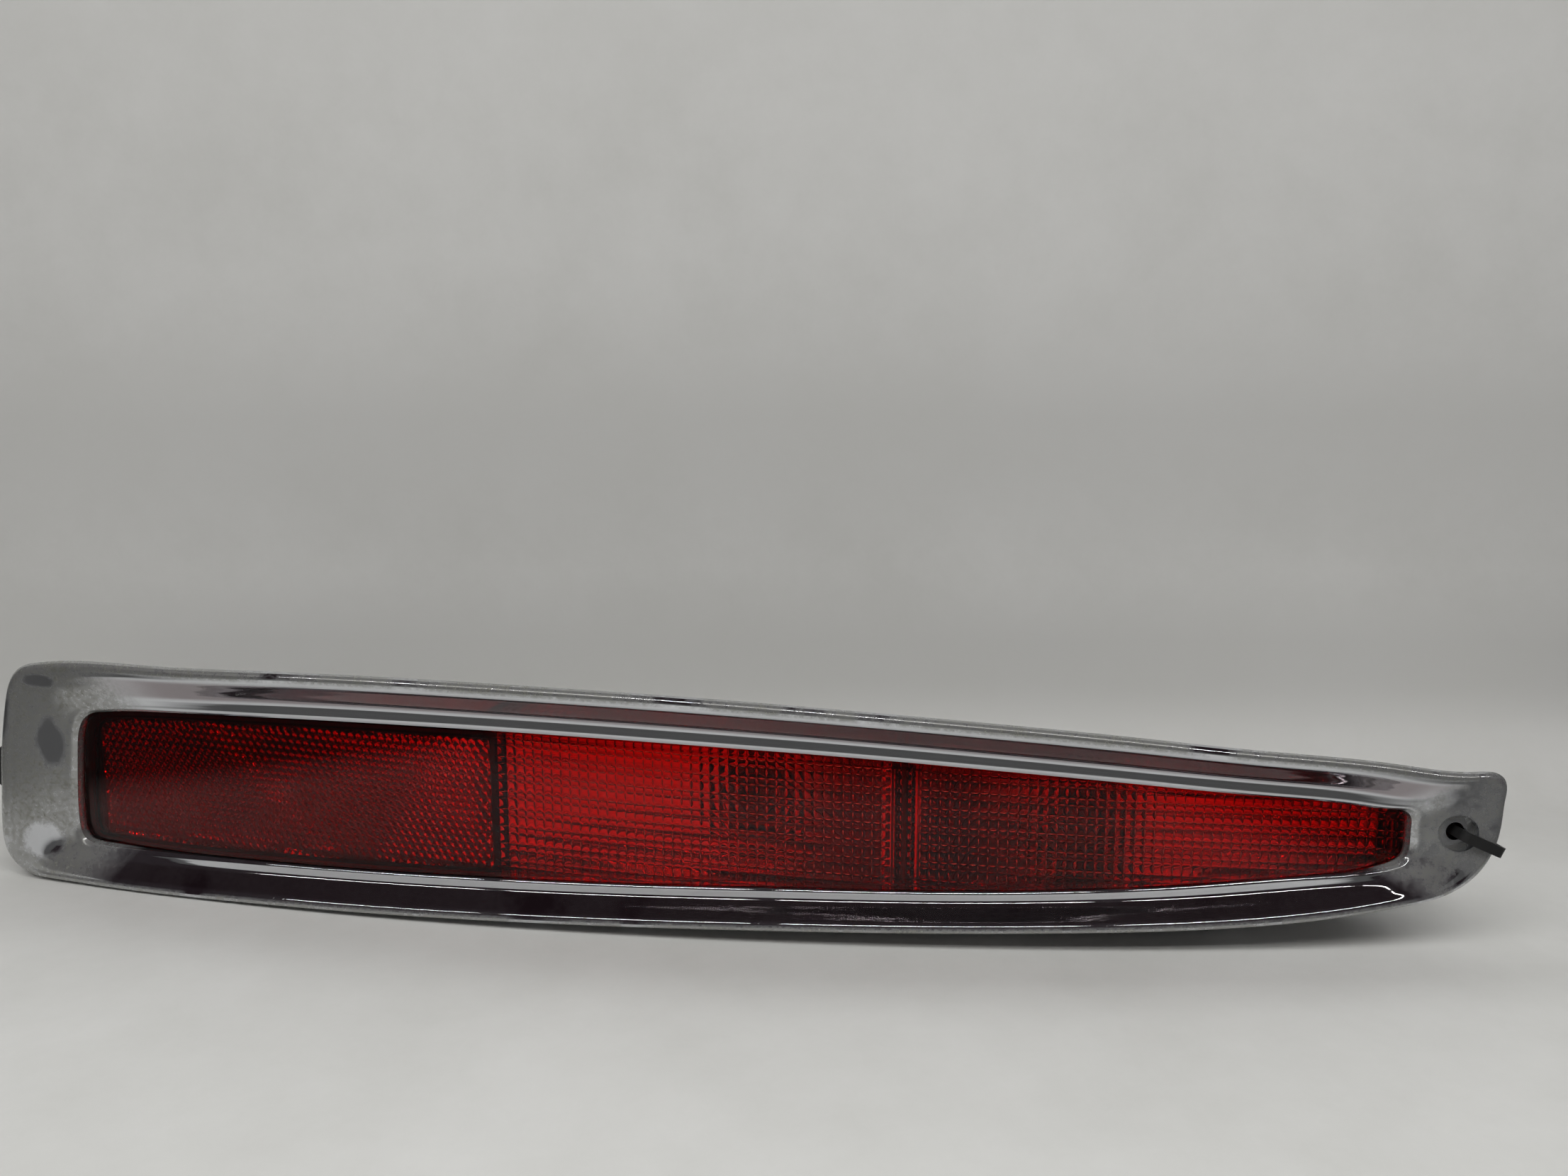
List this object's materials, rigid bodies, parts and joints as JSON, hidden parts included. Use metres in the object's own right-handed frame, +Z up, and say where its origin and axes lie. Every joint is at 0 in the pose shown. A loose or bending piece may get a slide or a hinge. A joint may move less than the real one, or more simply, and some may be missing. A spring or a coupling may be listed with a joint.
{
  "type": "car rear lamp",
  "caption": "Long tapered red car rear lamp with a chromed bezel, a reflex reflector at its wide end, two bulb chambers, twist-lock bulb sockets and a stud-mounted housing.",
  "frame": {"origin": "centre of the lamp's bounding box, on the plane it stands on", "axes": "+Z up, the lens faces -Y, +X along the lamp towards its narrow end with the screw hole"},
  "size_m": [0.5674, 0.102, 0.0894],
  "materials": {
    "bezel_chrome": "bright chrome plating on moulded plastic, hazed and scratched",
    "black_rubber": "soft matt rubber",
    "spring_steel": "dark oiled spring steel",
    "red_lens": "deep red transparent acrylic, polished, optics on the inside",
    "red_reflex": "red acrylic with a hexagonal pin pattern",
    "butyl": "sticky butyl bead",
    "housing_black": "black moulded plastic, fine grain",
    "stud_steel": "zinc-plated steel",
    "gasket_foam": "closed-cell foam",
    "vent_plastic": "black moulded plastic",
    "membrane": "white breathable membrane",
    "black_nylon": "black nylon, slightly glossy",
    "aluminised": "vacuum-aluminised plastic",
    "socket_grey": "dark grey glass-filled plastic",
    "terminal_brass": "tinned brass",
    "bulb_base": "off-white moulded plastic",
    "bulb_glass": "clear glass",
    "filament_metal": "bright wire"
  },
  "bodies": {
    "lamp": {"chrome_bezel": "bezel_chrome", "bezel_edge_seal": "black_rubber", "bezel_push_nuts": "spring_steel", "outer_lens": "red_lens", "reflex_reflector": "red_reflex", "lens_seal": "butyl", "housing": "housing_black", "mounting_studs": "stud_steel", "body_gasket": "gasket_foam", "vent_cap": "vent_plastic", "vent_membrane": "membrane", "cable_tie": "black_nylon", "reflector_bowl_inner": "aluminised", "reflector_bowl_outer": "aluminised"},
    "socket_inner": {"socket_inner": "socket_grey", "socket_seal_inner": "black_rubber", "terminals_inner": "terminal_brass"},
    "bulb_inner": {"bulb_base_inner": "bulb_base", "bulb_glass_inner": "bulb_glass", "filament_inner": "filament_metal"},
    "socket_outer": {"socket_outer": "socket_grey", "socket_seal_outer": "black_rubber", "terminals_outer": "terminal_brass"},
    "bulb_outer": {"bulb_base_outer": "bulb_base", "bulb_glass_outer": "bulb_glass", "filament_outer": "filament_metal"}
  },
  "joints": [
    {"name": "socket_inner_twist", "type": "hinge", "parent": "lamp", "child": "socket_inner", "pos_m": [0.0321, 0.027, 0.041], "axis": [0, 1, 0], "range_deg": [0, 40]},
    {"name": "bulb_inner_pull", "type": "slide", "parent": "socket_inner", "child": "bulb_inner", "axis": [0, -1, 0], "range_m": [0, 0.009]},
    {"name": "socket_outer_twist", "type": "hinge", "parent": "lamp", "child": "socket_outer", "pos_m": [0.1541, 0.027, 0.035], "axis": [0, 1, 0], "range_deg": [0, 40]},
    {"name": "bulb_outer_pull", "type": "slide", "parent": "socket_outer", "child": "bulb_outer", "axis": [0, -1, 0], "range_m": [0, 0.009]}
  ]
}
